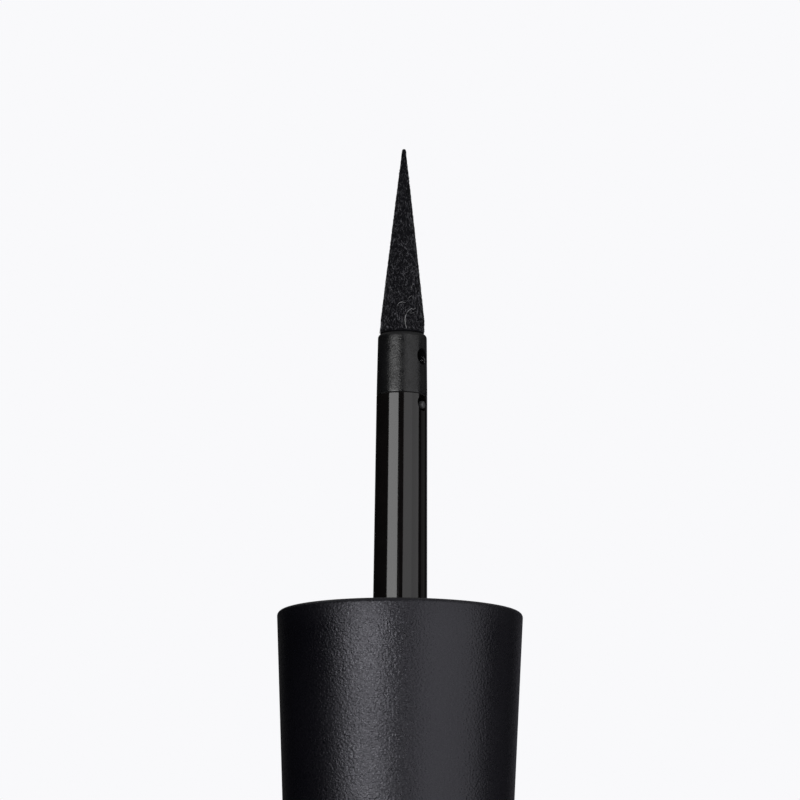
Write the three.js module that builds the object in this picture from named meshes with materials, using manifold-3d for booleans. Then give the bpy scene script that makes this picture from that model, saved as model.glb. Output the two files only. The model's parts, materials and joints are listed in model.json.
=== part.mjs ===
// A liquid eyeliner, opened: the bottle stands on its base, and beside it the cap stands on its
// closed end with the felt-tipped wand pointing up. Millimetres, +Z up, the table is z = 0, and the
// origin lies on the table midway between the two axes.
import * as THREE from "three";
import { mergeVertices } from "three/addons/utils/BufferGeometryUtils.js";
import Module from "manifold-3d";

const wasm = await Module();
wasm.setup();

// Driving dimensions of the set
const RIM_RADIUS = 7.03; // the cap's mouth and the bottle's shoulder
const AXIS_SPACING = 20; // between the bottle's axis and the cap's
const SEAT_GAP = 0.1; // between two pieces that sit in each other
const SHUT_GAP = 0.3; // between the cap's rim and the shoulder when the cap is screwed on

// Driving dimensions of the cap and the wand, heights above the cap's closed end
const CAP_HEIGHT = 52;
const CAP_TAPER = 0.0417; // loss of radius per millimetre towards the closed end
const CAP_WALL = 0.95;
const CAP_END_WALL = 1.6;
const RIM_ROUND = 0.27;
const CAP_END_ROUND = 0.7;
const SOCKET_DEPTH = 10.2; // from the rim down to the inner cap's floor
const INNER_CAP_RECESS = 0.7; // the inner cap's mouth below the rim
const SEAM_HEIGHT = 12.55; // the joint of stem and ferrule, above the rim
const FERRULE_LENGTH = 3.59;
const FELT_LENGTH = 10.97;
const STEM_RADIUS_AT_RIM = 1.55;
const STEM_RADIUS_AT_SEAM = 1.46;
const FERRULE_TOP_RADIUS = 1.405;
const FELT_BASE_RADIUS = 1.25;
const WINDOW_DIRECTION = THREE.MathUtils.degToRad(-34); // the side windows, from +X
const NUB_DIRECTION = THREE.MathUtils.degToRad(-26); // the nubs near one side of the stem's windows

// Driving dimensions of the bottle, heights above the table
const SHOULDER_HEIGHT = 39;
const BOTTLE_BASE_RADIUS = 6.7;
const BOTTLE_WALL = 1;
const VIAL_RADIUS = 5.5;
const VIAL_WALL = 0.8;
const VIAL_FLOOR = 1;
const NECK_HEIGHT = 8.9; // above the shoulder
const NECK_BORE = 3.05;
const BASE_PLUG_HEIGHT = 1.8;
const BALL_RADIUS = 1.9;

// The screw thread that the neck and the inner cap share
const THREAD = { pitch: 2.4, turns: 1.5, height: 0.45, rootWidth: 1, crestWidth: 0.55, steps: 36 };
const THREAD_START = 2.9; // middle of the neck's ridge at its lower end, above the shoulder
const NECK_RADIUS = 4.15; // root of the neck's thread
const SOCKET_RADIUS = 4.75; // root of the inner cap's thread

// Facets
const WIDE_FACETS = 36;
const SLIM_FACETS = 28;
const CORNER_STEPS = 3;

const rimHeight = CAP_HEIGHT;
const seamHeight = rimHeight + SEAM_HEIGHT;
const ferruleTop = seamHeight + FERRULE_LENGTH;
const tipHeight = ferruleTop + FELT_LENGTH;
const socketFloor = rimHeight - SOCKET_DEPTH;
const neckTop = SHOULDER_HEIGHT + NECK_HEIGHT;
const neckThreadStart = SHOULDER_HEIGHT + THREAD_START;
const vialBottom = BASE_PLUG_HEIGHT + SEAT_GAP;
const vialFloor = vialBottom + VIAL_FLOOR;

// The cap's outside and inside radius at a height.
const capRadius = (z) => RIM_RADIUS - (rimHeight - z) * CAP_TAPER;
const capBore = (z) => capRadius(z) - CAP_WALL;

// Solids

// A profile in the r-z plane from its corners [r, z, rounding]. Without a corner on the axis it
// closes on itself.
function profile(corners) {
  const points = corners.map(([r, z]) => new THREE.Vector2(r, z));
  const path = new THREE.Path();
  corners.forEach(([, , rounding = 0], i) => {
    const corner = points[i];
    const towards = (other) => corner.clone().lerp(other, rounding / corner.distanceTo(other));
    const start = rounding ? towards(points.at(i - 1)) : corner;
    if (i === 0) path.moveTo(start.x, start.y);
    else path.lineTo(start.x, start.y);
    if (!rounding) return;
    const end = towards(points[(i + 1) % points.length]);
    path.quadraticCurveTo(corner.x, corner.y, end.x, end.y);
  });
  const outline = path.getPoints(CORNER_STEPS);
  if (outline[0].x > 0) outline.push(outline[0].clone());
  return outline;
}

// The solid of revolution of a profile that runs anticlockwise in the r-z plane, around +Z.
function revolve(corners, facets) {
  return new THREE.LatheGeometry(profile(corners), facets).rotateX(Math.PI / 2);
}

// A geometry as a manifold-3d solid, for cutting and joining.
function toSolid(geometry) {
  const bare = geometry.clone().deleteAttribute("normal").deleteAttribute("uv");
  const merged = mergeVertices(bare, 1e-4);
  const index = merged.index.array;
  const triVerts = [];
  for (let i = 0; i < index.length; i += 3) {
    const [a, b, c] = index.subarray(i, i + 3);
    if (a !== b && b !== c && c !== a) triVerts.push(a, b, c);
  }
  const vertProperties = merged.attributes.position.array;
  return new wasm.Manifold(
    new wasm.Mesh({ numProp: 3, vertProperties, triVerts: new Uint32Array(triVerts) }),
  );
}

// A manifold-3d solid as a geometry.
function toGeometry(solid) {
  const mesh = solid.getMesh();
  const geometry = new THREE.BufferGeometry();
  geometry.setAttribute("position", new THREE.BufferAttribute(mesh.vertProperties, 3));
  geometry.setIndex(new THREE.BufferAttribute(mesh.triVerts, 1));
  return geometry;
}

// A helical ridge on a wall of the given radius. A positive side stands outwards, a negative one
// inwards.
function threadRidge(wallRadius, side, startHeight) {
  const { pitch, turns, height, rootWidth, crestWidth, steps } = THREAD;
  const rootDepth = 0.12; // how far the ridge reaches into its wall
  const leadIn = 0.12; // share of the length over which the ridge rises at each end
  const endHeight = 0.02; // what is left of the ridge at its two ends
  const positions = [];
  for (let i = 0; i <= steps; i++) {
    const along = i / steps;
    const angle = along * turns * 2 * Math.PI;
    const rise = Math.min(1, along / leadIn, (1 - along) / leadIn);
    const crest = wallRadius + side * (height * rise + endHeight);
    const root = wallRadius - side * rootDepth;
    const middle = startHeight + along * turns * pitch;
    const section = [
      [root, -rootWidth / 2],
      [crest, -crestWidth / 2],
      [crest, crestWidth / 2],
      [root, rootWidth / 2],
    ];
    for (const [r, dz] of section) {
      positions.push(r * Math.cos(angle), r * Math.sin(angle), middle + dz);
    }
  }
  const index = [];
  const quad = (a, b, c, d) => index.push(...(side > 0 ? [a, b, c, a, c, d] : [a, c, b, a, d, c]));
  const corners = 4;
  for (let i = 0; i < steps; i++) {
    for (let k = 0; k < corners; k++) {
      const here = i * corners + k;
      const beside = i * corners + ((k + 1) % corners);
      quad(here, here + corners, beside + corners, beside);
    }
  }
  const last = steps * corners;
  quad(0, 1, 2, 3);
  quad(last + 3, last + 2, last + 1, last);
  const geometry = new THREE.BufferGeometry();
  geometry.setAttribute("position", new THREE.Float32BufferAttribute(positions, 3));
  geometry.setIndex(index);
  return geometry;
}

// A round bar across the wand's axis, along a direction from +X.
function crossBar(radius, halfLength, height, direction = WINDOW_DIRECTION) {
  const facets = 20;
  const bar = new THREE.CylinderGeometry(radius, radius, 2 * halfLength, facets);
  return bar.rotateZ(Math.PI / 2).rotateZ(direction).translate(0, 0, height);
}

// Materials

const plastic = (color, roughness) => new THREE.MeshStandardMaterial({ color, roughness, metalness: 0 });
const finish = {
  satinBlack: plastic(0x242427, 0.62),
  glossBlack: plastic(0x0d0d0e, 0.16),
  moistBlack: plastic(0x171718, 0.36),
  felt: plastic(0x0b0b0e, 0.95),
  linerBlack: plastic(0x1a1a1c, 0.42),
  foam: plastic(0xd8d8d4, 0.85),
  wiper: plastic(0xb9bbb8, 0.45),
  steel: new THREE.MeshStandardMaterial({ color: 0xc4c6c8, roughness: 0.15, metalness: 1 }),
};

function piece(name, geometry, material) {
  const mesh = new THREE.Mesh(geometry, material);
  mesh.name = name;
  return mesh;
}

// The cap and its wand

function capShell() {
  const corners = [
    [0, 0],
    [capRadius(0), 0, CAP_END_ROUND],
    [RIM_RADIUS, rimHeight, RIM_ROUND],
    [capBore(rimHeight), rimHeight, RIM_ROUND],
    [capBore(CAP_END_WALL), CAP_END_WALL, CAP_END_ROUND],
    [0, CAP_END_WALL],
  ];
  return piece("cap_shell", revolve(corners, WIDE_FACETS), finish.satinBlack);
}

// The threaded liner wedged in the shell's taper. A boss under its floor grips the stem's plug.
const INNER_CAP_LENGTH = 18.5;
const LINER_WALL = 0.8;
const LINER_FLOOR = 1.5;
const STEM_BORE = 1.75;
const BOSS_RADIUS = 2.6;
const BOSS_LENGTH = 6.5;
const RIDGE_CLEARANCE = 2.2; // least height of the ridge's lower end above the floor

function innerCap() {
  const top = rimHeight - INNER_CAP_RECESS;
  const bottom = top - INNER_CAP_LENGTH;
  const outside = (z) => capBore(z) - SEAT_GAP;
  const floorUnderside = socketFloor - LINER_FLOOR;
  const bossEnd = floorUnderside - BOSS_LENGTH;
  const edge = 0.2;
  const corners = [
    [STEM_BORE, bossEnd],
    [BOSS_RADIUS, bossEnd, edge],
    [BOSS_RADIUS, floorUnderside, edge],
    [outside(floorUnderside) - LINER_WALL, floorUnderside, edge],
    [outside(bottom) - LINER_WALL, bottom],
    [outside(bottom), bottom],
    [outside(top), top, edge],
    [SOCKET_RADIUS, top, edge],
    [SOCKET_RADIUS, socketFloor],
    [STEM_BORE, socketFloor],
  ];
  // In the screwed-on position this ridge runs half a pitch from the neck's.
  const turnedOver = rimHeight + SHOULDER_HEIGHT + SHUT_GAP;
  const halfWay = turnedOver - neckThreadStart - THREAD.pitch / 2;
  const lowest = socketFloor + RIDGE_CLEARANCE;
  const start = lowest + THREE.MathUtils.euclideanModulo(halfWay - lowest, THREAD.pitch);
  const ridge = toSolid(threadRidge(SOCKET_RADIUS, -1, start));
  const liner = toSolid(revolve(corners, WIDE_FACETS)).add(ridge);
  return piece("inner_cap", toGeometry(liner), finish.linerBlack);
}

const WASHER_THICKNESS = 0.7;
const STEM_FLANGE_RADIUS = 2.4;

// The ring at the bottom of the socket that the bottle's mouth is pressed against.
function sealWasher() {
  const bottom = socketFloor + SEAT_GAP;
  const inside = STEM_FLANGE_RADIUS + SEAT_GAP;
  const outside = SOCKET_RADIUS - THREAD.height - SEAT_GAP;
  const corners = [
    [inside, bottom],
    [outside, bottom],
    [outside, bottom + WASHER_THICKNESS],
    [inside, bottom + WASHER_THICKNESS],
  ];
  return piece("seal_washer", revolve(corners, SLIM_FACETS), finish.foam);
}

const SPIGOT_RADIUS = 0.98;
const SPIGOT_LENGTH = 2.2;
const SPIGOT_PLAY = 0.3; // under the spigot's end
const STEM_WINDOW_RADIUS = 0.45;
const STEM_WINDOW_DROP = 0.52; // below the seam
const SEAM_GAP = 0.06;
const SEAM_EDGE = 0.05;

// The moulded rod: a barbed plug in the inner cap, a flange on its floor, and a slim tapered shaft.
function stem() {
  const plugRadius = STEM_BORE - SEAT_GAP;
  const plugRecess = 0.4; // the plug's end inside the boss
  const plugEnd = socketFloor - LINER_FLOOR - BOSS_LENGTH + plugRecess;
  const flangeBottom = socketFloor + SEAT_GAP;
  const flangeTop = flangeBottom + WASHER_THICKNESS;
  const flangeRound = 0.15;
  const barb = 1.2; // spacing of the plug's grooves
  const groove = 0.15;
  const socketRadius = SPIGOT_RADIUS + SEAT_GAP;
  const socketBottom = seamHeight - SPIGOT_LENGTH - SPIGOT_PLAY;
  const corners = [
    [0, plugEnd],
    [plugRadius - groove, plugEnd],
    [plugRadius, plugEnd + barb],
    [plugRadius - groove, plugEnd + barb],
    [plugRadius, plugEnd + 2 * barb],
    [plugRadius, flangeBottom],
    [STEM_FLANGE_RADIUS, flangeBottom],
    [STEM_FLANGE_RADIUS, flangeTop, flangeRound],
    [STEM_RADIUS_AT_RIM, flangeTop, flangeRound],
    [STEM_RADIUS_AT_RIM, rimHeight],
    [STEM_RADIUS_AT_SEAM, seamHeight, SEAM_EDGE],
    [socketRadius, seamHeight],
    [socketRadius, socketBottom],
    [0, socketBottom],
  ];
  const windowHeight = seamHeight - STEM_WINDOW_DROP;
  const window = crossBar(STEM_WINDOW_RADIUS, 2 * STEM_RADIUS_AT_SEAM, windowHeight);
  const rod = toSolid(revolve(corners, SLIM_FACETS)).subtract(toSolid(window));
  return piece("stem", toGeometry(rod), finish.glossBlack);
}

const SHANK_RADIUS = 0.72;
const SHANK_LENGTH = 4.6;
const FERRULE_BORE = SHANK_RADIUS + SEAT_GAP;
const FERRULE_WINDOW_RADIUS = 0.46;
const FERRULE_WINDOW_HEIGHT = 2.2; // above the seam

// The sleeve that grips the felt. Its spigot plugs into the stem, where two nubs snap into the windows.
function ferrule() {
  const bottom = seamHeight + SEAM_GAP;
  const topRound = 0.24;
  const nubRadius = 0.22;
  const nubReach = 1.4; // from the axis, just inside the stem's outer face
  const nubSag = 0.08; // below the middle of the stem's window
  const nubHeight = seamHeight - STEM_WINDOW_DROP - nubSag;
  const corners = [
    [FERRULE_BORE, bottom - SPIGOT_LENGTH],
    [SPIGOT_RADIUS, bottom - SPIGOT_LENGTH],
    [SPIGOT_RADIUS, bottom],
    [STEM_RADIUS_AT_SEAM, bottom, SEAM_EDGE],
    [FERRULE_TOP_RADIUS, ferruleTop, topRound],
    [FERRULE_BORE, ferruleTop],
  ];
  const boreLength = 2 * SPIGOT_LENGTH;
  const bore = new THREE.CylinderGeometry(FERRULE_BORE, FERRULE_BORE, boreLength, SLIM_FACETS);
  bore.rotateX(Math.PI / 2).translate(0, 0, seamHeight);
  const nubs = toSolid(crossBar(nubRadius, nubReach, nubHeight, NUB_DIRECTION));
  const windowHeight = seamHeight + FERRULE_WINDOW_HEIGHT;
  const window = crossBar(FERRULE_WINDOW_RADIUS, 2 * STEM_RADIUS_AT_SEAM, windowHeight);
  const sleeve = toSolid(revolve(corners, SLIM_FACETS))
    .add(nubs)
    .subtract(toSolid(bore))
    .subtract(toSolid(window));
  return piece("ferrule", toGeometry(sleeve), finish.moistBlack);
}

// The felt: a long cone with a blunt point, a short straight foot and a shank held in the ferrule.
function feltTip() {
  const foot = ferruleTop + SEAT_GAP;
  const footLength = 0.7;
  const footRound = 0.1;
  const footTuck = 0.04; // the foot draws in where it meets the ferrule
  const pointRadius = 0.1;
  const shankEnd = ferruleTop - SHANK_LENGTH;
  const corners = [
    [0, shankEnd],
    [SHANK_RADIUS, shankEnd, footRound],
    [SHANK_RADIUS, foot],
    [FELT_BASE_RADIUS - footTuck, foot, footRound],
    [FELT_BASE_RADIUS, foot + footLength],
    [pointRadius, tipHeight, pointRadius],
    [0, tipHeight],
  ];
  return piece("felt_tip", revolve(corners, SLIM_FACETS), finish.felt);
}

// The bottle

function bottleShell() {
  const foot = 0.4; // the base plug stands this far proud
  const taper = (RIM_RADIUS - BOTTLE_BASE_RADIUS) / SHOULDER_HEIGHT;
  const inside = (z) => BOTTLE_BASE_RADIUS + z * taper - BOTTLE_WALL;
  const ceiling = SHOULDER_HEIGHT - BOTTLE_WALL;
  const collar = NECK_RADIUS + 2 * SEAT_GAP;
  const corners = [
    [inside(foot), foot],
    [BOTTLE_BASE_RADIUS, foot, CAP_END_ROUND / 2],
    [RIM_RADIUS, SHOULDER_HEIGHT, RIM_ROUND],
    [collar, SHOULDER_HEIGHT],
    [collar, ceiling],
    [inside(ceiling), ceiling, CAP_END_ROUND],
  ];
  return piece("bottle_shell", revolve(corners, WIDE_FACETS), finish.satinBlack);
}

// The inner bottle that holds the liquid. Its threaded neck comes up through the shell's shoulder.
function vial() {
  const top = SHOULDER_HEIGHT - BOTTLE_WALL - SEAT_GAP;
  const inside = VIAL_RADIUS - VIAL_WALL;
  const bead = { radius: 4.7, bottom: SHOULDER_HEIGHT + SEAT_GAP, height: 0.7 };
  const round = 0.6;
  const edge = 0.15;
  const corners = [
    [0, vialBottom],
    [VIAL_RADIUS, vialBottom, round],
    [VIAL_RADIUS, top, edge],
    [NECK_RADIUS, top],
    [NECK_RADIUS, bead.bottom],
    [bead.radius, bead.bottom, edge],
    [bead.radius, bead.bottom + bead.height, edge],
    [NECK_RADIUS, bead.bottom + bead.height],
    [NECK_RADIUS, neckTop, edge],
    [NECK_BORE, neckTop],
    [NECK_BORE, top - VIAL_WALL, edge],
    [inside, top - 3 * VIAL_WALL, round],
    [inside, vialFloor, round],
    [0, vialFloor],
  ];
  const ridge = toSolid(threadRidge(NECK_RADIUS, 1, neckThreadStart));
  const bottle = toSolid(revolve(corners, WIDE_FACETS)).add(ridge);
  return piece("vial", toGeometry(bottle), finish.glossBlack);
}

// The soft insert in the neck whose lip strips the stem.
function wiper() {
  const flangeRadius = 3.95;
  const flangeThickness = 0.55;
  const sleeveRadius = NECK_BORE - SEAT_GAP;
  const lipRadius = STEM_RADIUS_AT_RIM + SEAT_GAP;
  const wall = 0.55;
  const lipHeight = 0.6;
  const length = 5.8; // of the sleeve with its cone
  const cone = 2;
  const edge = 0.15;
  const flange = neckTop + SEAT_GAP;
  const bottom = flange - length;
  const corners = [
    [lipRadius, bottom],
    [lipRadius + wall, bottom],
    [sleeveRadius, bottom + cone],
    [sleeveRadius, flange],
    [flangeRadius, flange],
    [flangeRadius, flange + flangeThickness, edge],
    [sleeveRadius - wall, flange + flangeThickness, 2 * edge],
    [sleeveRadius - wall, bottom + cone],
    [lipRadius, bottom + lipHeight],
  ];
  return piece("wiper", revolve(corners, SLIM_FACETS), finish.wiper);
}

// The disc that closes the shell from below and carries the vial. The bottle stands on it.
function basePlug() {
  const radius = BOTTLE_BASE_RADIUS - BOTTLE_WALL - SEAT_GAP;
  const edge = 0.3;
  const corners = [
    [0, 0],
    [radius, 0, edge],
    [radius, BASE_PLUG_HEIGHT],
    [0, BASE_PLUG_HEIGHT],
  ];
  return piece("base_plug", revolve(corners, WIDE_FACETS), finish.linerBlack);
}

// The loose ball that stirs the liquid when the bottle is shaken.
function mixingBall() {
  const around = 20;
  const rings = 12;
  const ball = new THREE.SphereGeometry(BALL_RADIUS, around, rings).rotateX(Math.PI / 2);
  ball.translate(0, 0, vialFloor + SEAT_GAP + BALL_RADIUS);
  return piece("mixing_ball", ball, finish.steel);
}

// The assembly

const applicator = new THREE.Group();
applicator.add(capShell(), innerCap(), sealWasher(), stem(), ferrule(), feltTip());
applicator.position.y = -AXIS_SPACING / 2;

const bottle = new THREE.Group();
bottle.add(bottleShell(), vial(), wiper(), basePlug(), mixingBall());
bottle.position.y = AXIS_SPACING / 2;

const eyeliner = new THREE.Group();
eyeliner.add(applicator, bottle);

export default eyeliner;
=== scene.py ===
import json
import math
import random

import bpy
from mathutils import Euler, Matrix, Vector, noise


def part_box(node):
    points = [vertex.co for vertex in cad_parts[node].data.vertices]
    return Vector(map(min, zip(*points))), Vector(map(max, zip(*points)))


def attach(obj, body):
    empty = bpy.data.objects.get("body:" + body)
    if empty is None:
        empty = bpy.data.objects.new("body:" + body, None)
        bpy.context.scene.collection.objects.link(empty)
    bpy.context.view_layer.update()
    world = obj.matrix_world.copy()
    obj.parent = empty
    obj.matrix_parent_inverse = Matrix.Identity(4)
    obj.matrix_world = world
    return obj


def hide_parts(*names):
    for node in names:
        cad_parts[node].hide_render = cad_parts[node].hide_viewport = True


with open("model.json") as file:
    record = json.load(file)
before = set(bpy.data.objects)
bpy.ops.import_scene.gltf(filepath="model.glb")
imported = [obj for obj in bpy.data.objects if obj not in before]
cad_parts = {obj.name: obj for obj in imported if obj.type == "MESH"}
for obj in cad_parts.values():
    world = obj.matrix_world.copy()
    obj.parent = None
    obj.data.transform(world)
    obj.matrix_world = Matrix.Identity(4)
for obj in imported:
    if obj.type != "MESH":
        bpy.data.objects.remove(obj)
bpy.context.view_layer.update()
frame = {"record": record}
scene = bpy.context.scene

MM = 0.001  # the sizes below are in millimetres
NEAR = 1e-3  # a length that counts as nothing
ARC_STEPS = 8  # stretches in a rounded edge
SHARP_ANGLE = math.radians(32)
WIDE_SEGMENTS = 192  # around the cap and the bottle
SLIM_SEGMENTS = 144  # around the wand and the screw threads
ROUND_SEGMENTS = 64  # around the ball and the cross bars
STAGE_SEGMENTS = 96  # around the floor and the walls


# Shapes


def span(node):
    """Axis y, radius, bottom and top of a CAD node, in millimetres."""
    low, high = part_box(node)
    return (low.y + high.y) / 2 / MM, (high.x - low.x) / 2 / MM, low.z / MM, high.z / MM


def smooth(x):
    """A soft step from 0 to 1."""
    x = min(max(x, 0), 1)
    return x * x * (3 - 2 * x)


def fillet(before, corner, after, reach):
    """Points on the arc that rounds a corner, starting and ending at a distance of reach from it."""
    back = (before - corner).normalized()
    on = (after - corner).normalized()
    half = back.angle(on) / 2
    centre = corner + (back + on).normalized() * reach / math.cos(half)
    start = corner + back * reach - centre
    end = corner + on * reach - centre
    radius = start.length
    return [centre + start.slerp(end, k / ARC_STEPS) * radius for k in range(ARC_STEPS + 1)]


def outline(corners, closed, longest, close_up):
    """A line in the r-z plane through corners (r, z, rounding), with no stretch over longest.
    close_up gives the lowest and highest z of a part with shorter stretches, and their length."""
    low, high, close = close_up or (0, 0, longest)
    places = [Vector(corner[:2]) for corner in corners]
    points = []
    for i, corner in enumerate(corners):
        if len(corner) < 3:
            points.append(places[i])
        else:
            points += fillet(places[i - 1], places[i], places[(i + 1) % len(places)], corner[2])
    if closed:
        points.append(points[0])
    fine = [points[0]]
    for start, end in zip(points, points[1:]):
        near = min(start.y, end.y) > low - NEAR and max(start.y, end.y) < high + NEAR
        count = max(1, math.ceil((end - start).length / (close if near else longest)))
        fine += [start.lerp(end, k / count) for k in range(1, count + 1)]
    return fine[:-1] if closed else fine


def shade(mesh):
    """Smooth shading, except at sharp edges."""
    mesh.shade_smooth()
    mesh.set_sharp_from_angle(angle=SHARP_ANGLE)


def mesh_object(name, verts, faces):
    """An object from points in millimetres."""
    mesh = bpy.data.meshes.new(name)
    mesh.from_pydata([Vector(v) * MM for v in verts], [], faces)
    shade(mesh)
    obj = bpy.data.objects.new(name, mesh)
    scene.collection.objects.link(obj)
    return obj


def lathe(name, axis_y, corners, segments, longest=1.0, close_up=None, relief=None):
    """A surface of revolution about an upright axis. relief(angle, r, z) adds to its radius."""
    closed = corners[0][0] > 0 and corners[-1][0] > 0
    verts = []
    rings = []
    for r, z in outline(corners, closed, longest, close_up):
        angles = [math.tau * k / segments for k in range(segments)] if r > NEAR else [0]
        rings.append(range(len(verts), len(verts) + len(angles)))
        for a in angles:
            radius = r + relief(a, r, z) if relief else r
            verts.append((radius * math.cos(a), axis_y + radius * math.sin(a), z))
    faces = []
    for lower, upper in zip(rings, [*rings[1:], rings[0]] if closed else rings[1:]):
        for k in range(segments):
            n = k + 1
            quad = [(lower, k), (lower, n), (upper, n), (upper, k)]
            faces.append(list(dict.fromkeys(ring[i % len(ring)] for ring, i in quad)))
    return mesh_object(name, verts, faces)


def combine(obj, tool, operation):
    """Joins a tool to an object or cuts the object by it, and removes the tool."""
    modifier = obj.modifiers.new("combine", "BOOLEAN")
    modifier.object = tool
    modifier.operation = operation
    modifier.solver = "EXACT"
    evaluated = obj.evaluated_get(bpy.context.evaluated_depsgraph_get())
    mesh = bpy.data.meshes.new_from_object(evaluated)
    obj.modifiers.clear()
    obj.data = mesh
    shade(mesh)
    bpy.data.objects.remove(tool)
    return obj


def dress(obj, node, material):
    """The object stands for a CAD node, on its body and in its material slot."""
    obj.data.materials.append(material)
    body = next(b for b, members in frame["record"]["behaviour"]["bodies"].items() if node in members)
    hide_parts(node)
    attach(obj, body)
    return obj


# Materials


def new_material(name, **values):
    """A material whose shader has these values, and the shader node."""
    material = bpy.data.materials.new(name)
    material.use_nodes = True
    shader = material.node_tree.nodes["Principled BSDF"]
    for socket, value in values.items():
        shader.inputs[socket.replace("_", " ")].default_value = value
    return material, shader


def add_node(owner, kind, inputs=None, **settings):
    """A node of a material or the world, with inputs that are values or other nodes' sockets."""
    node = owner.node_tree.nodes.new("ShaderNode" + kind)
    for key, value in settings.items():
        setattr(node, key, value)
    for socket, value in (inputs or {}).items():
        if isinstance(value, bpy.types.NodeSocket):
            owner.node_tree.links.new(value, node.inputs[socket])
        else:
            node.inputs[socket].default_value = value
    return node


def wire(owner, output, node, socket):
    owner.node_tree.links.new(output, node.inputs[socket])


def millimetres(material, stretch=(1, 1, 1)):
    """The place on the object in millimetres, stretched along an axis by a smaller factor."""
    place = add_node(material, "TexCoord").outputs["Object"]
    scale = [s / MM for s in stretch]
    return add_node(material, "Mapping", {"Vector": place, "Scale": scale}).outputs["Vector"]


def grain(material, place, size, detail=2.0, roughness=0.5):
    """Noise with features of a size in millimetres, from 0 to 1."""
    inputs = {"Vector": place, "Scale": 1 / size, "Detail": detail, "Roughness": roughness}
    return add_node(material, "TexNoise", inputs).outputs["Fac"]


def ramp(material, factor, low, high, from_low=0.3, from_high=0.7):
    """A factor mapped from one range to another."""
    inputs = {"Value": factor, "From Min": from_low, "From Max": from_high, "To Min": low, "To Max": high}
    return add_node(material, "MapRange", inputs).outputs["Result"]


def mix_colours(owner, share, one, other):
    """A colour that goes from one to the other as the share goes from 0 to 1."""
    mix = add_node(owner, "Mix", {"Factor": share}, data_type="RGBA")
    mix.inputs["A"].default_value = (*one, 1)
    mix.inputs["B"].default_value = (*other, 1)
    return mix.outputs["Result"]


def tint(material, factor, dark, light, from_low=0.3, from_high=0.7):
    """A colour between two others, by a factor."""
    return mix_colours(material, ramp(material, factor, 0, 1, from_low, from_high), dark, light)


def times(material, one, other):
    """The product of two factors."""
    return add_node(material, "Math", {0: one, 1: other}, operation="MULTIPLY").outputs["Value"]


def upwards(material, place):
    """The height of a place."""
    return add_node(material, "SeparateXYZ", {0: place}).outputs["Z"]


def relief_of(material, height, depth, below=None):
    """A bump of that depth in millimetres, on top of another bump."""
    inputs = {"Height": height, "Distance": depth * MM, "Strength": 1.0}
    if below:
        inputs["Normal"] = below
    return add_node(material, "Bump", inputs).outputs["Normal"]


WORN_EDGE = 6.5  # height of the worn part of the cap, with its dull edge
DULL_EDGE = 1.6


def satin_plastic(rim):
    """Black plastic from a spark-eroded mould: a fine matt grain that glitters a little, worn smoother
    below the cap's rim and duller at the rim."""
    material, shader = new_material("satin_plastic", IOR=1.5, Specular_Tint=(0.91, 0.9, 1, 1))
    place = millimetres(material)
    pits = grain(material, place, 0.08, detail=1)
    waves = grain(material, millimetres(material, (1, 1, 1.2)), 0.13, detail=1)
    cloud = grain(material, place, 2.5, detail=3)
    height = upwards(material, place)
    worn = ramp(material, height, 1, 0.89, rim - WORN_EDGE, rim - DULL_EDGE)
    dull = ramp(material, height, 1, 1.3, rim - DULL_EDGE, rim)
    cloudy = times(material, ramp(material, cloud, 0.345, 0.375), times(material, worn, dull))
    colour = tint(material, pits, (0.0016, 0.0015, 0.003), (0.0026, 0.0025, 0.0042))
    wire(material, colour, shader, "Base Color")
    glints = ramp(material, pits, 1, 0.55, 0.53, 0.72)
    wire(material, times(material, glints, cloudy), shader, "Roughness")
    wire(material, relief_of(material, waves, 0.031), shader, "Normal")
    return material


def gloss_plastic():
    """Polished black moulding with faint draw marks along its length."""
    material, shader = new_material("gloss_plastic", IOR=1.5)
    along = millimetres(material, (1, 1, 0.03))
    streaks = grain(material, along, 0.12)
    cloud = grain(material, millimetres(material), 1.5)
    colour = tint(material, cloud, (0.0044, 0.0038, 0.0038), (0.0064, 0.0056, 0.0056))
    wire(material, colour, shader, "Base Color")
    wire(material, ramp(material, streaks, 0.05, 0.1), shader, "Roughness")
    wire(material, relief_of(material, streaks, 0.0004), shader, "Normal")
    return material


RUBBED_EDGE = 0.22  # height of the ferrule's rubbed part
INKY_EDGE = 0.25  # height of its inky part


def stained_plastic(foot, top):
    """Black ferrule plastic, dulled in blotches by dried liner, rubbed at its foot and inky at its top."""
    material, shader = new_material("stained_plastic", IOR=1.5, Specular_IOR_Level=0.36)
    place = millimetres(material)
    blotch = grain(material, place, 0.45, detail=4, roughness=0.65)
    speck = grain(material, place, 0.11, detail=1)
    height = upwards(material, place)
    rubbed = ramp(material, height, 0.2, 1, foot, foot + RUBBED_EDGE)
    inky = ramp(material, height, 1, 2.6, top - INKY_EDGE, top)
    stain = times(material, ramp(material, blotch, 0.23, 0.4), ramp(material, speck, 1.35, 0.65))
    colour = tint(material, speck, (0.004, 0.004, 0.0044), (0.009, 0.009, 0.01))
    wire(material, colour, shader, "Base Color")
    wire(material, times(material, stain, times(material, rubbed, inky)), shader, "Roughness")
    bumps = relief_of(material, speck, 0.009, relief_of(material, blotch, 0.015))
    wire(material, bumps, shader, "Normal")
    return material


NUB_HIGHLIGHT_LENGTH = 0.3  # length of the nubs' ends that carry a painted highlight


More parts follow.
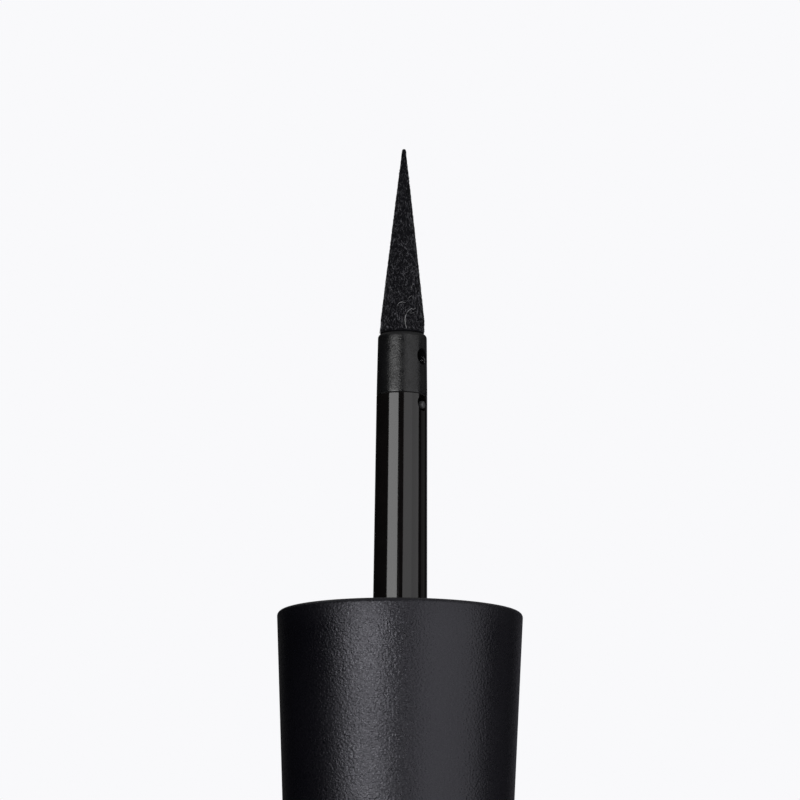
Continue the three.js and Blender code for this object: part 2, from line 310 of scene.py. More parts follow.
def nub_plastic(axis_y, reach):
    """The black plastic of the snap, with a mottled painted highlight in lighter grey where it ends, at
    that reach.
    """
    material, shader = new_material("nub_plastic", IOR=1.5)
    place = millimetres(material)
    mottle = grain(material, place, 0.08, detail=3)
    flatten = {0: place, 1: (1, 1, 0), 2: (0, -axis_y, 0)}
    flat = add_node(material, "VectorMath", flatten, operation="MULTIPLY_ADD").outputs["Vector"]
    away = add_node(material, "VectorMath", {0: flat}, operation="LENGTH").outputs["Value"]
    # Painted highlight: the nubs' ends are painted a lighter grey that stands in for light caught in the
    # window.
    painted_highlight = ramp(material, away, 0, 1, reach - NUB_HIGHLIGHT_LENGTH, reach - NUB_HIGHLIGHT_LENGTH / 2)
    share = times(material, painted_highlight, ramp(material, mottle, 0.5, 1))
    # black plastic, and the lighter grey of the painted highlight
    colour = tint(material, share, (0.003, 0.003, 0.003), (0.07, 0.07, 0.074), 0, 1)
    wire(material, colour, shader, "Base Color")
    wire(material, ramp(material, mottle, 0.4, 0.55), shader, "Roughness")
    return material


def felt_cloth():
    """Dense black felt, soaked with liner."""
    material, shader = new_material("felt_cloth", Roughness=0.95, IOR=1.4, Specular_IOR_Level=0.15)
    along = millimetres(material, (1, 1, 0.5))
    threads = grain(material, along, 0.07, detail=3, roughness=0.7)
    clump = grain(material, millimetres(material), 0.35, detail=3)
    colour = tint(material, threads, (0.0008, 0.0008, 0.0014), (0.0085, 0.0085, 0.011))
    wire(material, colour, shader, "Base Color")
    bumps = relief_of(material, threads, 0.04, relief_of(material, clump, 0.04))
    wire(material, bumps, shader, "Normal")
    return material


def fibre_finish(name, dark, light):
    """Single fibres between two colours, from patch to patch."""
    material, shader = new_material(name, Roughness=0.7, IOR=1.45, Specular_IOR_Level=0.3)
    patch = grain(material, millimetres(material), 0.2, detail=2)
    wire(material, tint(material, patch, dark, light), shader, "Base Color")
    return material


def liner_plastic():
    """Plain black moulding with flow marks."""
    material, shader = new_material("liner_plastic", IOR=1.5)
    place = millimetres(material)
    flow = grain(material, place, 0.8, detail=3)
    fine = grain(material, place, 0.1)
    colour = tint(material, flow, (0.011, 0.011, 0.012), (0.018, 0.018, 0.019))
    wire(material, colour, shader, "Base Color")
    wire(material, ramp(material, flow, 0.28, 0.4), shader, "Roughness")
    wire(material, relief_of(material, fine, 0.003), shader, "Normal")
    return material


FOAM_CELLS = 9.0  # per millimetre


def foam_sheet():
    """White closed-cell foam with fine pores."""
    material, shader = new_material("foam_sheet", Roughness=0.85, IOR=1.45)
    place = millimetres(material)
    cells = add_node(material, "TexVoronoi", {"Vector": place, "Scale": FOAM_CELLS}).outputs["Distance"]
    colour = tint(material, cells, (0.62, 0.62, 0.59), (0.48, 0.48, 0.45), 0.2, 0.8)
    wire(material, colour, shader, "Base Color")
    wire(material, relief_of(material, cells, 0.05), shader, "Normal")
    return material


def wiper_plastic():
    """Soft natural polyethylene, milky and a little stained."""
    material, shader = new_material("wiper_plastic", IOR=1.51)
    place = millimetres(material)
    stain = grain(material, place, 2.2, detail=3)
    colour = tint(material, stain, (0.34, 0.345, 0.33), (0.46, 0.465, 0.45))
    wire(material, colour, shader, "Base Color")
    wire(material, ramp(material, stain, 0.3, 0.45), shader, "Roughness")
    wire(material, relief_of(material, grain(material, place, 0.15), 0.004), shader, "Normal")
    return material


def ball_steel():
    """Polished steel with a fine lapped finish."""
    material, shader = new_material("ball_steel", Metallic=1.0)
    lap = grain(material, millimetres(material), 0.1, detail=3)
    colour = tint(material, lap, (0.55, 0.56, 0.57), (0.63, 0.63, 0.64))
    wire(material, colour, shader, "Base Color")
    wire(material, ramp(material, lap, 0.12, 0.2), shader, "Roughness")
    return material


# The cap and its wand

cap_y, rim_radius, cap_bottom, rim_z = span("cap_shell")
_, _, liner_bottom, liner_top = span("inner_cap")
_, washer_radius, washer_bottom, washer_top = span("seal_washer")
_, flange_radius, plug_end, seam_z = span("stem")
_, seam_radius, spigot_end, ferrule_top = span("ferrule")
_, felt_radius, shank_end, tip_z = span("felt_tip")

CAP_TAPER = 0.0417  # loss of radius per millimetre below the rim
CAP_WALL = 0.95
CAP_END_WALL = 1.6
RIM_ROUND = 0.27
CAP_END_ROUND = 0.7
SEAT_GAP = 0.1  # between two pieces that sit in each other
EDGE = 0.15  # rounding of a plain moulded edge


def cap_radius(z):
    return rim_radius - (rim_z - z) * CAP_TAPER


def make_cap():
    floor_z = cap_bottom + CAP_END_WALL
    corners = [
        (0, cap_bottom),
        (cap_radius(cap_bottom), cap_bottom, CAP_END_ROUND),
        (rim_radius, rim_z, RIM_ROUND),
        (rim_radius - CAP_WALL, rim_z, RIM_ROUND),
        (cap_radius(floor_z) - CAP_WALL, floor_z, CAP_END_ROUND),
        (0, floor_z),
    ]
    return lathe("cap_body", cap_y, corners, WIDE_SEGMENTS)


# The screw thread that the neck and the inner cap share
PITCH = 2.4
TURNS = 1.5
RIDGE_HEIGHT = 0.45
RIDGE_ROOT = 1.0
RIDGE_CREST = 0.55
RIDGE_SINK = 0.04  # of its foot into the wall
RIDGE_POINTS = 16  # across the ridge
LEAD_IN = 0.12  # share of the ridge's length over which it rises at each end


def screw_ridge(name, axis_y, wall, side, start_z):
    """A helical ridge on a round wall, on its outside for a side of 1 and on its inside for -1."""
    verts, faces = [], []
    steps = round(TURNS * SLIM_SEGMENTS)
    for i in range(steps + 1):
        angle = math.tau * i / SLIM_SEGMENTS
        rise = RIDGE_HEIGHT * smooth(min(i, steps - i) / steps / LEAD_IN)
        section = [(-2 * RIDGE_SINK, -RIDGE_ROOT / 2)]
        for k in range(RIDGE_POINTS + 1):
            off = RIDGE_ROOT * (k / RIDGE_POINTS - 0.5)
            flank = (RIDGE_ROOT - 2 * abs(off)) / (RIDGE_ROOT - RIDGE_CREST)
            section.append((rise * smooth(flank) - RIDGE_SINK, off))
        section.append((-2 * RIDGE_SINK, RIDGE_ROOT / 2))
        for height, off in section:
            r = wall + side * height
            z = start_z + PITCH * i / SLIM_SEGMENTS + off
            verts.append((r * math.cos(angle), axis_y + r * math.sin(angle), z))
    ring = len(section)
    for i in range(steps):
        for k in range(ring):
            a, b = i * ring + k, i * ring + (k + 1) % ring
            faces.append((a, a + ring, b + ring, b))
    faces.append(tuple(range(ring)))
    faces.append(tuple(range(len(verts) - 1, len(verts) - ring - 1, -1)))
    obj = mesh_object(name, verts, faces)
    if side < 0:
        obj.data.flip_normals()
    return obj


SOCKET_DEPTH = 10.2  # from the rim down to the inner cap's floor
SOCKET_RADIUS = 4.75
LINER_WALL = 0.8
LINER_FLOOR = 1.5
BOSS_RADIUS = 2.6
BOSS_LENGTH = 6.5
STEM_BORE = 1.75
SOCKET_RIDGE_START = 4  # above the socket's floor
socket_floor = rim_z - SOCKET_DEPTH


def make_inner_cap():
    under = socket_floor - LINER_FLOOR
    boss_end = under - BOSS_LENGTH

    def outside(z):
        return cap_radius(z) - CAP_WALL - SEAT_GAP

    corners = [
        (STEM_BORE, boss_end),
        (BOSS_RADIUS, boss_end, EDGE),
        (BOSS_RADIUS, under, EDGE),
        (outside(under) - LINER_WALL, under, EDGE),
        (outside(liner_bottom) - LINER_WALL, liner_bottom),
        (outside(liner_bottom), liner_bottom),
        (outside(liner_top), liner_top, EDGE),
        (SOCKET_RADIUS, liner_top, EDGE),
        (SOCKET_RADIUS, socket_floor),
        (STEM_BORE, socket_floor),
    ]
    socket = lathe("threaded_liner", cap_y, corners, WIDE_SEGMENTS)
    start_z = socket_floor + SOCKET_RIDGE_START
    return combine(socket, screw_ridge("socket_ridge", cap_y, SOCKET_RADIUS, -1, start_z), "UNION")


FOAM_LUMPS = 0.03  # depth of the seal's lumps
FOAM_LUMPS_PER_MM = 3
FOAM_STEP = 0.15  # rows of its mesh


def make_washer():
    inside = flange_radius + SEAT_GAP
    corners = [
        (inside, washer_bottom, EDGE),
        (washer_radius, washer_bottom, EDGE),
        (washer_radius, washer_top, EDGE),
        (inside, washer_top, EDGE),
    ]

    def lumps(angle, r, z):
        place = Vector((r * math.cos(angle), r * math.sin(angle), z))
        return FOAM_LUMPS * noise.noise(place * FOAM_LUMPS_PER_MM)

    return lathe("foam_seal", cap_y, corners, SLIM_SEGMENTS, longest=FOAM_STEP, relief=lumps)


STEM_RADIUS_AT_RIM = 1.55
SPIGOT_RADIUS = 0.98
SPIGOT_LENGTH = 2.2
SPIGOT_PLAY = 0.3
SEAM_EDGE = 0.03
BARB = 1.2  # spacing of the grooves on the stem's plug
GROOVE = 0.15
STEM_WINDOW_RADIUS = 0.45
STEM_WINDOW_DROP = 0.52  # below the seam
FERRULE_WINDOW_RADIUS = 0.46
FERRULE_WINDOW_RISE = 2.2  # above the seam
WINDOW_DIRECTION = math.radians(-34)  # from +X
WINDOW_STEP = 0.08  # rows of the mesh around the windows
WINDOW_FLARE = 0.05  # softening of a window's outer edge
BAR_STEP = 0.4  # rows of the mesh of a cross bar


def cross_bar(name, corners, z, direction):
    """A round bar across the wand's axis, from a profile along the bar."""
    bar = lathe(name, 0, corners, ROUND_SEGMENTS, longest=BAR_STEP)
    turn = Matrix.Rotation(direction, 4, "Z") @ Matrix.Rotation(math.pi / 2, 4, "Y")
    bar.data.transform(Matrix.Translation(Vector((0, cap_y, z)) * MM) @ turn)
    return bar


def drill(name, radius, wall, z):
    """The bar that cuts a cross window. It widens where it leaves a wall of that outer radius."""
    wide = radius + WINDOW_FLARE
    reach = 2 * seam_radius
    corners = [
        (0, -reach),
        (wide, -reach),
        (wide, -wall - WINDOW_FLARE),
        (radius, -wall + WINDOW_FLARE),
        (radius, wall - WINDOW_FLARE),
        (wide, wall + WINDOW_FLARE),
        (wide, reach),
        (0, reach),
    ]
    return cross_bar(name, corners, z, WINDOW_DIRECTION)


def make_stem():
    barb_radius = STEM_BORE - SEAT_GAP
    socket_radius = SPIGOT_RADIUS + SEAT_GAP
    socket_end = seam_z - SPIGOT_LENGTH - SPIGOT_PLAY
    window_z = seam_z - STEM_WINDOW_DROP
    window_reach = 2 * STEM_WINDOW_RADIUS
    share = (seam_z - window_z + window_reach) / (seam_z - rim_z)
    radius_below_window = seam_radius + (STEM_RADIUS_AT_RIM - seam_radius) * share
    corners = [
        (0, plug_end),
        (barb_radius - GROOVE, plug_end, EDGE),
        (barb_radius, plug_end + BARB),
        (barb_radius - GROOVE, plug_end + BARB),
        (barb_radius, plug_end + 2 * BARB),
        (barb_radius, washer_bottom),
        (flange_radius, washer_bottom),
        (flange_radius, washer_top, EDGE),
        (STEM_RADIUS_AT_RIM, washer_top, EDGE),
        (STEM_RADIUS_AT_RIM, rim_z),
        (radius_below_window, window_z - window_reach),
        (seam_radius, seam_z, SEAM_EDGE),
        (socket_radius, seam_z),
        (socket_radius, socket_end),
        (0, socket_end),
    ]
    close_up = (window_z - window_reach, seam_z, WINDOW_STEP)
    rod = lathe("stem_rod", cap_y, corners, SLIM_SEGMENTS, close_up=close_up)
    return combine(rod, drill("stem_drill", STEM_WINDOW_RADIUS, seam_radius, window_z), "DIFFERENCE")


FERRULE_TOP_RADIUS = 1.405
FERRULE_ROUND = 0.24
FERRULE_FOOT = 0.035  # rounding of its lower edge
SHANK_RADIUS = 0.72
SEAM_GAP = 0.02


def make_ferrule():
    bottom = seam_z + SEAM_GAP
    bore = SHANK_RADIUS + SEAT_GAP
    window_z = seam_z + FERRULE_WINDOW_RISE
    corners = [
        (bore, spigot_end),
        (SPIGOT_RADIUS, spigot_end),
        (SPIGOT_RADIUS, bottom),
        (seam_radius, bottom, FERRULE_FOOT),
        (FERRULE_TOP_RADIUS, ferrule_top, FERRULE_ROUND),
        (bore, ferrule_top, SEAM_EDGE),
    ]
    close_up = (spigot_end, ferrule_top, WINDOW_STEP)
    sleeve = lathe("tip_ferrule", cap_y, corners, SLIM_SEGMENTS, close_up=close_up)
    tool = drill("ferrule_drill", FERRULE_WINDOW_RADIUS, FERRULE_TOP_RADIUS, window_z)
    return combine(sleeve, tool, "DIFFERENCE")


NUB_RADIUS = 0.22
NUB_REACH = 1.44
NUB_ROUND = 0.12
NUB_SAG = 0.08  # below the middle of the window
NUB_DIRECTION = math.radians(-26)


def make_nubs():
    """The two ends of the snap, which fill the lower part of the stem's windows."""
    inside = SPIGOT_RADIUS - SEAT_GAP
    middle = seam_z - STEM_WINDOW_DROP - NUB_SAG
    corners = [
        (0, -NUB_REACH),
        (NUB_RADIUS, -NUB_REACH, NUB_ROUND),
        (NUB_RADIUS, NUB_REACH, NUB_ROUND),
        (0, NUB_REACH),
    ]
    nubs = cross_bar("snap_nubs", corners, middle, NUB_DIRECTION)
    ream = [(0, spigot_end), (inside, spigot_end), (inside, seam_z), (0, seam_z)]
    return combine(nubs, lathe("ream", cap_y, ream, SLIM_SEGMENTS), "DIFFERENCE")


# The felt and its loose fibres

FOOT_GAP = 0.02  # between the ferrule and the felt's foot
FOOT_LENGTH = 0.78
FOOT_ROUND = 0.06
FOOT_TUCK = 0.03
FOOT_BULGE = 0.07  # of the foot's left side
BULGE_HEIGHT = 0.6
POINT_RADIUS = 0.1
POINT_ROUND = 0.9  # share of the point's radius that is rounded
FUZZ = 0.025  # depth of the felt's lumps
FUZZ_SIZE = 0.1
FUZZ_SHORTER = 0.6  # heights count this much, so the lumps are longer than wide
FUZZ_CALM = 0.4  # the lumps fade from this radius inwards
FUZZ_LAYERS = 3  # of lumps, each finer than the one before
FUZZ_FINER = 2.0  # how many times finer
FUZZ_FALL = 0.8  # how fast the finer layers get weaker
FUZZ_STEP = 0.05  # rows of the felt's mesh


def felt_surface(z):
    """The cone's radius at a height."""
    foot = ferrule_top + FOOT_GAP + FOOT_LENGTH
    if z < foot:
        return felt_radius
    return felt_radius + (POINT_RADIUS - felt_radius) * (z - foot) / (tip_z - foot)


def foot_bulge(angle, z):
    """The bulge on the left of the felt's foot."""
    up = (z - ferrule_top - FOOT_GAP) / BULGE_HEIGHT
    return FOOT_BULGE * max(0, -math.cos(angle)) * smooth(1 - up)


def make_felt():
    foot = ferrule_top + FOOT_GAP
    corners = [
        (0, shank_end),
        (SHANK_RADIUS, shank_end, FOOT_ROUND),
        (SHANK_RADIUS, foot),
        (felt_radius - FOOT_TUCK, foot, FOOT_ROUND),
        (felt_radius, foot + FOOT_LENGTH),
        (POINT_RADIUS, tip_z, POINT_RADIUS * POINT_ROUND),
        (0, tip_z),
    ]

    def fuzz(angle, r, z):
        place = Vector((r * math.cos(angle), r * math.sin(angle), z * FUZZ_SHORTER)) / FUZZ_SIZE
        calm = min(1, r / FUZZ_CALM)
        lumps = FUZZ * calm * noise.fractal(place, FUZZ_FALL, FUZZ_FINER, FUZZ_LAYERS)
        return lumps + foot_bulge(angle, z) if r > SHANK_RADIUS or z > foot else 0

    close_up = (foot, tip_z, FUZZ_STEP)
    return lathe("felt_point", cap_y, corners, SLIM_SEGMENTS, close_up=close_up, relief=fuzz)


TUBE_END = 0.45  # share of a tube's radius that is left at its ends
TUBE_GUIDE = Vector((0.31, 0.17, 0.93))  # a direction that no fibre runs in


def tube(path, radius, verts, faces, sides):
    """Adds a thin closed tube along a path, tapered at its ends, to lists of points and faces."""
    first = len(verts)
    last = len(path) - 1
    for i, here in enumerate(path):
        along = (path[min(i + 1, last)] - path[max(i - 1, 0)]).normalized()
        side = along.cross(TUBE_GUIDE).normalized()
        across = along.cross(side)
        thick = radius * (TUBE_END if i in (0, last) else 1)
        for k in range(sides):
            a = math.tau * k / sides
            verts.append(here + (side * math.cos(a) + across * math.sin(a)) * thick)
    for i in range(last):
        for k in range(sides):
            a, b = first + i * sides + k, first + i * sides + (k + 1) % sides
            faces.append((a, b, b + sides, a + sides))
    faces.append(tuple(range(first + sides - 1, first - 1, -1)))
    faces.append(tuple(range(first + last * sides, first + (last + 1) * sides)))


FIBRE_RADIUS = (0.004, 0.008)
FIBRE_LENGTH = (0.06, 0.28)
FIBRE_SPREAD = 0.55  # of the fibres' headings, in radians from upwards
FIBRE_BEND = 1  # spread of the bend over a fibre's length, in radians
FIBRE_LIFT = 0.035  # of a fibre's middle above the felt, at most
FIBRE_SINK = 0.006  # of its ends into the felt
FIBRE_POINTS = 4
FIBRE_SIDES = 3
FIBRE_START = 0.06  # above the ferrule and below the point


def felt_place(angle, z, lift):
    """A point above the felt's surface by that lift."""
    r = felt_surface(z) + foot_bulge(angle, z) + lift
    return Vector((r * math.cos(angle), cap_y + r * math.sin(angle), z))


def make_fibres(name, count, seed):
    """Short fibres that lie on the felt, most of them roughly along it, and more where it is wide."""
    draw = random.Random(seed)
    verts, faces = [], []
    low, high = ferrule_top + FIBRE_START, tip_z - FIBRE_START
    for _ in range(count):
        z = low + (high - low) * (1 - math.sqrt(draw.random()))
        angle = draw.uniform(0, math.tau)
        heading = draw.gauss(0, FIBRE_SPREAD)
        bend = draw.gauss(0, FIBRE_BEND)
        length = draw.uniform(*FIBRE_LENGTH)
        lift = draw.uniform(0, FIBRE_LIFT)
        radius = draw.uniform(*FIBRE_RADIUS)
        step = length / (FIBRE_POINTS - 1)
        path = []
        for i in range(FIBRE_POINTS):
            arch = math.sin(math.pi * i / (FIBRE_POINTS - 1))
            path.append(felt_place(angle, z, lift * arch - FIBRE_SINK))
            z = min(max(z + step * math.cos(heading), low), high)
            angle += step * math.sin(heading) / felt_surface(z)
            heading += bend * step / length
        tube(path, radius, verts, faces, FIBRE_SIDES)
    return mesh_object(name, verts, faces)


# Loose fibres near the foot: a radius, and points right of the axis and above the ferrule
STRAY_FIBRES = [
    (0.012, [(0.25, 0.13), (0.16, 0.42), (0.14, 0.65), (0.17, 0.88), (0.25, 1.08)]),
    (0.009, [(0.25, 1.08), (0.38, 1.24), (0.51, 1.34), (0.61, 1.29), (0.74, 1.36)]),
    (0.008, [(-0.33, 1.44), (-0.27, 1.57), (-0.18, 1.67), (-0.08, 1.7), (0.05, 1.69), (0.18, 1.66)]),
    (0.005, [(0.3, 1.88), (0.41, 2.03), (0.51, 2.11), (0.57, 2.02), (0.62, 1.9)]),
    (0.005, [(0.36, 1.06), (0.5, 1.05), (0.67, 1.13)]),
    (0.004, [(0.44, 2.43), (0.5, 2.58), (0.57, 2.85)]),
    (0.004, [(-0.73, 2.59), (-0.64, 2.46), (-0.53, 2.26)]),
]
STRAY_LIFT = 0.03  # above the felt
STRAY_SIDES = 6
# Fibres in the ferrule's window: a radius, and points right of the axis and above the window's middle
WINDOW_FIBRES = [
    (0.006, [(1.16, 0), (1.23, -0.05), (1.28, -0.12), (1.29, -0.22), (1.26, -0.32)]),
    (0.0045, [(1.02, -0.32), (1.08, -0.24), (1.16, -0.2), (1.21, -0.27)]),
]
WINDOW_FIBRE_DEPTH = 0.06  # below the ferrule's surface


def front_place(aside, z, radius):
    """A point on the front of a round surface, right of the axis by aside."""
    return Vector((aside, cap_y - math.sqrt(radius ** 2 - aside ** 2), z))


def make_stray_fibres():
    verts, faces = [], []
    for radius, points in STRAY_FIBRES:
        path = []
        for aside, up in points:
            z = ferrule_top + up
            path.append(front_place(aside, z, felt_surface(z) + STRAY_LIFT))
        tube(path, radius, verts, faces, STRAY_SIDES)
    window_z = seam_z + FERRULE_WINDOW_RISE
    in_window = FERRULE_TOP_RADIUS - WINDOW_FIBRE_DEPTH
    for radius, points in WINDOW_FIBRES:
        path = [front_place(aside, window_z + up, in_window) for aside, up in points]
        tube(path, radius, verts, faces, STRAY_SIDES)
    return mesh_object("stray_fibres", verts, faces)


# The bottle

bottle_y, shoulder_radius, shell_foot, shoulder_z = span("bottle_shell")
_, vial_radius, vial_bottom, neck_top = span("vial")
_, wiper_radius, wiper_bottom, wiper_top = span("wiper")
_, plug_radius, plug_bottom, plug_top = span("base_plug")
_, ball_radius, ball_bottom, _ = span("mixing_ball")

BOTTLE_BASE_RADIUS = 6.7
BOTTLE_WALL = 1.0
NECK_RADIUS = 4.15
NECK_BORE = 3.05


def make_bottle_shell():
    taper = (shoulder_radius - BOTTLE_BASE_RADIUS) / shoulder_z
    ceiling = shoulder_z - BOTTLE_WALL
    collar = NECK_RADIUS + 2 * SEAT_GAP

    def inside(z):
        return BOTTLE_BASE_RADIUS + z * taper - BOTTLE_WALL

    corners = [
        (inside(shell_foot), shell_foot),
        (BOTTLE_BASE_RADIUS, shell_foot, CAP_END_ROUND / 2),
        (shoulder_radius, shoulder_z, RIM_ROUND),
        (collar, shoulder_z, EDGE / 2),
        (collar, ceiling),
        (inside(ceiling), ceiling, CAP_END_ROUND),
    ]
    return lathe("bottle_jacket", bottle_y, corners, WIDE_SEGMENTS)


VIAL_WALL = 0.8
VIAL_FLOOR = 1.0
VIAL_ROUND = 0.6
BEAD_RADIUS = 4.7
BEAD_HEIGHT = 0.7
NECK_RIDGE_START = 2.9  # above the shoulder


def make_vial():
    top = shoulder_z - BOTTLE_WALL - SEAT_GAP
    inside = vial_radius - VIAL_WALL
    floor_z = vial_bottom + VIAL_FLOOR
    bead_bottom = shoulder_z + SEAT_GAP
    bead_top = bead_bottom + BEAD_HEIGHT
    corners = [
        (0, vial_bottom),
        (vial_radius, vial_bottom, VIAL_ROUND),
        (vial_radius, top, EDGE),
        (NECK_RADIUS, top),
        (NECK_RADIUS, bead_bottom),
        (BEAD_RADIUS, bead_bottom, EDGE),
        (BEAD_RADIUS, bead_top, EDGE),
        (NECK_RADIUS, bead_top, EDGE),
        (NECK_RADIUS, neck_top, EDGE),
        (NECK_BORE, neck_top, EDGE),
        (NECK_BORE, top - VIAL_WALL, EDGE),
        (inside, top - 3 * VIAL_WALL, VIAL_ROUND),
        (inside, floor_z, VIAL_ROUND),
        (0, floor_z),
    ]
    vial = lathe("inner_vial", bottle_y, corners, WIDE_SEGMENTS)
    start_z = shoulder_z + NECK_RIDGE_START
    return combine(vial, screw_ridge("neck_ridge", bottle_y, NECK_RADIUS, 1, start_z), "UNION")


WIPER_WALL = 0.55
WIPER_CONE = 2.0
WIPER_STEP = 0.4  # rows of its mesh
LIP_HEIGHT = 0.6


def make_wiper():
    sleeve = NECK_BORE - SEAT_GAP
    lip = STEM_RADIUS_AT_RIM + SEAT_GAP
    flange_bottom = neck_top + SEAT_GAP
    corners = [
        (lip, wiper_bottom),
        (lip + WIPER_WALL, wiper_bottom, EDGE),
        (sleeve, wiper_bottom + WIPER_CONE, EDGE),
        (sleeve, flange_bottom),
        (wiper_radius, flange_bottom),
        (wiper_radius, wiper_top, EDGE),
        (sleeve - WIPER_WALL, wiper_top, 2 * EDGE),
        (sleeve - WIPER_WALL, wiper_bottom + WIPER_CONE, EDGE),
        (lip, wiper_bottom + LIP_HEIGHT, EDGE),
    ]
    return lathe("neck_wiper", bottle_y, corners, SLIM_SEGMENTS, longest=WIPER_STEP)


PLUG_EDGE = 0.3


def make_base_plug():
    corners = [
        (0, plug_bottom),
        (plug_radius, plug_bottom, PLUG_EDGE),
        (plug_radius, plug_top, EDGE),
        (0, plug_top),
    ]
    return lathe("bottom_plug", bottle_y, corners, WIDE_SEGMENTS)


BALL_STEPS = 32  # from pole to pole


def make_ball():
    turns = [math.pi * k / BALL_STEPS for k in range(BALL_STEPS + 1)]
    centre = ball_bottom + ball_radius
    corners = [(ball_radius * math.sin(t), centre - ball_radius * math.cos(t)) for t in turns]
    return lathe("steel_ball", bottle_y, corners, ROUND_SEGMENTS)


# The pieces

satin = satin_plastic(rim_z)
gloss = gloss_plastic()
liner = liner_plastic()
dress(make_cap(), "cap_shell", satin)
dress(make_inner_cap(), "inner_cap", liner)
dress(make_washer(), "seal_washer", foam_sheet())
dress(make_stem(), "stem", gloss)
dress(make_ferrule(), "ferrule", stained_plastic(seam_z, ferrule_top))
dress(make_nubs(), "ferrule", nub_plastic(cap_y, NUB_REACH))
dress(make_felt(), "felt_tip", felt_cloth())
dark_thread = fibre_finish("dark_thread", (0.004, 0.004, 0.0056), (0.026, 0.026, 0.031))
pale_thread = fibre_finish("pale_thread", (0.03, 0.03, 0.036), (0.21, 0.21, 0.23))
stray_thread = fibre_finish("stray_thread", (0.26, 0.26, 0.27), (0.6, 0.6, 0.61))
dress(make_fibres("felt_fibres", count=3000, seed=11), "felt_tip", dark_thread)
dress(make_fibres("pale_fibres", count=4500, seed=12), "felt_tip", pale_thread)
dress(make_stray_fibres(), "felt_tip", stray_thread)
dress(make_bottle_shell(), "bottle_shell", satin)
dress(make_vial(), "vial", gloss)
dress(make_wiper(), "wiper", wiper_plastic())
dress(make_base_plug(), "base_plug", liner)
dress(make_ball(), "mixing_ball", ball_steel())


# Stage, camera and light

CAMERA_DISTANCE = 260  # level, from the cap's axis
CAMERA_DROP = 33.31  # below the rim
CAMERA_ASIDE = -0.107  # right of the cap's axis
CAMERA_PITCH = math.radians(9.955)
CAMERA_ROLL = math.radians(0.5)
SENSOR_WIDTH = 36
FRAME_PIXELS = 800  # width of the photo
FOCAL_PIXELS = 4592  # focal length in pixels of the photo


def make_camera():
    data = bpy.data.cameras.new("photo_camera")
    data.sensor_width = SENSOR_WIDTH
    data.lens = SENSOR_WIDTH * FOCAL_PIXELS / FRAME_PIXELS
    camera = bpy.data.objects.new("photo_camera", data)
    camera.location = Vector((CAMERA_ASIDE, cap_y - CAMERA_DISTANCE, rim_z - CAMERA_DROP)) * MM
    upright = Euler((math.pi / 2 + CAMERA_PITCH, 0, 0)).to_matrix()
    camera.rotation_euler = (upright @ Matrix.Rotation(CAMERA_ROLL, 3, "Z")).to_euler()
    scene.collection.objects.link(camera)
    scene.camera = camera


def seen(owner):
    """1 where a material or the world is met by a camera, glossy or transmission ray, and else 0."""
    rays = add_node(owner, "LightPath").outputs
    most = rays["Is Camera Ray"]
    for kind in ("Is Glossy Ray", "Is Transmission Ray"):
        most = add_node(owner, "Math", {0: most, 1: rays[kind]}, operation="MAXIMUM").outputs["Value"]
    return most


BACKGROUND = (0.947, 0.947, 0.965)
FILL = (0.25, 0.25, 0.25)  # light of the world on rough surfaces


def make_world():
    world = bpy.data.worlds.new("white_world")
    world.use_nodes = True
    scene.world = world
    colour = mix_colours(world, seen(world), FILL, BACKGROUND)
    wire(world, colour, world.node_tree.nodes["Background"], "Color")


WALL_RADIUS = 900
WALL_FOOT = -500
WALL_HEAD = 1100
WALL_STEP = 400  # rows of their mesh


def make_walls():
    """A black tent around the lamps, which the camera sees through."""
    material, shader = new_material("black_cloth", Roughness=1.0, Specular_IOR_Level=0.0)
    weave = grain(material, millimetres(material), 4)
    colour = tint(material, weave, (0.012, 0.012, 0.012), (0.02, 0.02, 0.02))
    wire(material, colour, shader, "Base Color")
    corners = [(0, WALL_FOOT), (WALL_RADIUS, WALL_FOOT), (WALL_RADIUS, WALL_HEAD), (0, WALL_HEAD)]
    walls = lathe("studio_walls", 0, corners, STAGE_SEGMENTS, longest=WALL_STEP)
    walls.data.materials.append(material)
    walls.visible_camera = False


FLOOR_RADIUS = 100
FLOOR_CLEAR = 45  # the floor fades into the background from this radius outwards
FLOOR_DROP = 0.2
FLOOR_GLOW = 0.55  # share of the background in the floor's colour next to the object


def make_floor():
    """A pale round table top whose edge fades into the background where the camera sees it."""
    material, shader = new_material("pale_floor", Roughness=0.7)
    place = millimetres(material)
    cloud = grain(material, place, 60, detail=3)
    colour = tint(material, cloud, (0.87, 0.87, 0.88), (0.9, 0.9, 0.91))
    wire(material, colour, shader, "Base Color")
    away = add_node(material, "VectorMath", {0: place}, operation="LENGTH").outputs["Value"]
    fade = ramp(material, away, FLOOR_GLOW, 1, FLOOR_CLEAR, FLOOR_RADIUS)
    share = times(material, fade, seen(material))
    glow = add_node(material, "Emission", {"Color": (*BACKGROUND, 1)}).outputs["Emission"]
    mix = add_node(material, "MixShader", {"Fac": share, 1: shader.outputs["BSDF"], 2: glow})
    wire(material, mix.outputs["Shader"], material.node_tree.nodes["Material Output"], "Surface")
    corners = [(FLOOR_RADIUS, -FLOOR_DROP), (0, -FLOOR_DROP)]
    floor = lathe("pale_floor", 0, corners, STAGE_SEGMENTS, longest=FLOOR_RADIUS)
    floor.data.flip_normals()
    floor.data.materials.append(material)


# Sizes and places of the lamps are in metres
LAMP_DISTANCE = 0.6  # from the wand
LAMP_FOOT = -0.3
LAMP_SPLIT = 0.122  # the wand mirrors what is above this height, and the cap what is below it
LAMP_HEAD = 0.5
LOW_PART = (LAMP_FOOT, LAMP_SPLIT)
HIGH_PART = (LAMP_SPLIT, LAMP_HEAD)
FULL_HEIGHT = (LAMP_FOOT, LAMP_HEAD)
COOL_WHITE = (0.99, 0.985, 1.0)
PALE_VIOLET = (0.9, 0.88, 1.0)
VIOLET = (0.85, 0.82, 1.0)


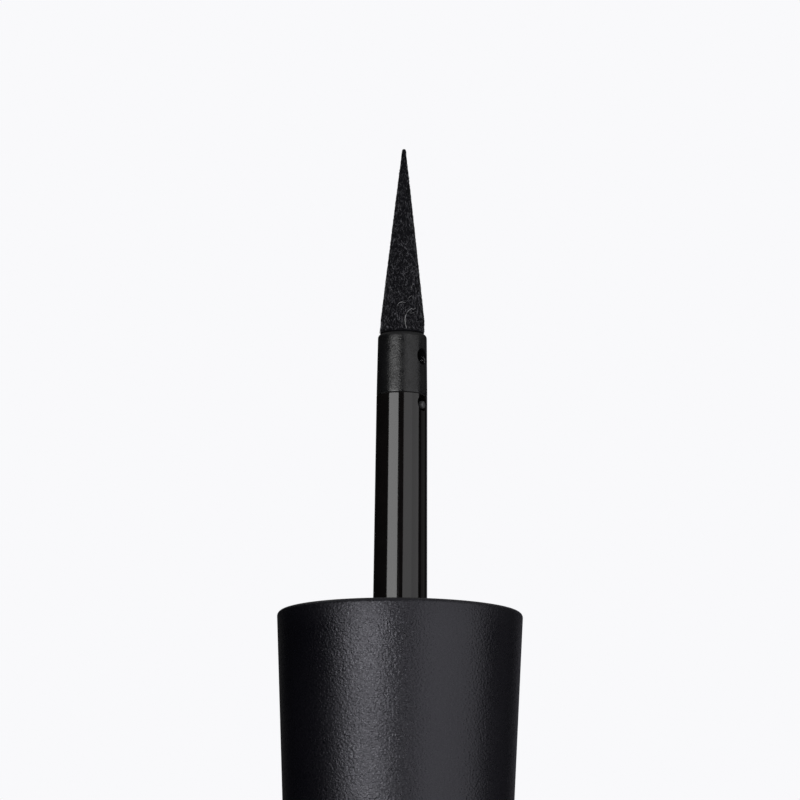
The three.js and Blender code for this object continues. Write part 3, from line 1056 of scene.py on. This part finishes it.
def area_lamp(name, width, height, radiance, colour=(1, 1, 1)):
    """A flat lamp that the camera doesn't see."""
    data = bpy.data.lights.new(name, "AREA")
    data.shape = "RECTANGLE"
    data.size = width
    data.size_y = height
    data.energy = radiance * math.pi * width * height
    data.color = colour
    lamp = bpy.data.objects.new(name, data)
    lamp.visible_camera = False
    scene.collection.objects.link(lamp)
    return lamp


def softbox(name, azimuths, heights, radiance, colour=(1, 1, 1)):
    """An upright lamp that spans two azimuths, in degrees right of the camera, as seen from the wand."""
    left, right = azimuths
    low, high = heights
    middle = math.radians((left + right) / 2)
    half = math.radians((right - left) / 2)
    lamp = area_lamp(name, 2 * LAMP_DISTANCE * math.tan(half), high - low, radiance, colour)
    towards = Vector((math.sin(middle), -math.cos(middle), 0))
    lamp.location = towards * LAMP_DISTANCE + Vector((0, cap_y * MM, (low + high) / 2))
    lamp.rotation_euler = towards.to_track_quat("Z", "Y").to_euler()


def overhead_lamp(height, size, radiance):
    """A square lamp that faces down, above the origin."""
    lamp = area_lamp("overhead_softbox", size, size, radiance)
    lamp.location = (0, 0, height)


make_camera()
make_world()
make_walls()
make_floor()
softbox("left_softbox", azimuths=(-59.5, -15), heights=(LAMP_SPLIT, 0.24), radiance=3.9)
softbox("low_left_softbox", azimuths=(-47.8, -8), heights=(-0.02, LAMP_SPLIT), radiance=6.15)
softbox("right_softbox", azimuths=(9.5, 48), heights=FULL_HEIGHT, radiance=1.32, colour=COOL_WHITE)
softbox("far_right_softbox", azimuths=(48, 82.8), heights=FULL_HEIGHT, radiance=1.1, colour=COOL_WHITE)
softbox("edge_strip", azimuths=(99, 128), heights=LOW_PART, radiance=0.08, colour=VIOLET)
softbox("high_edge_strip", azimuths=(99, 128), heights=HIGH_PART, radiance=0.12)
softbox("rear_right_strip", azimuths=(147, 180), heights=FULL_HEIGHT, radiance=0.12, colour=PALE_VIOLET)
softbox("rear_left_strip", azimuths=(-178, -152), heights=FULL_HEIGHT, radiance=0.045)
overhead_lamp(height=0.7, size=1.4, radiance=0.36)

scene.view_settings.view_transform = "Standard"
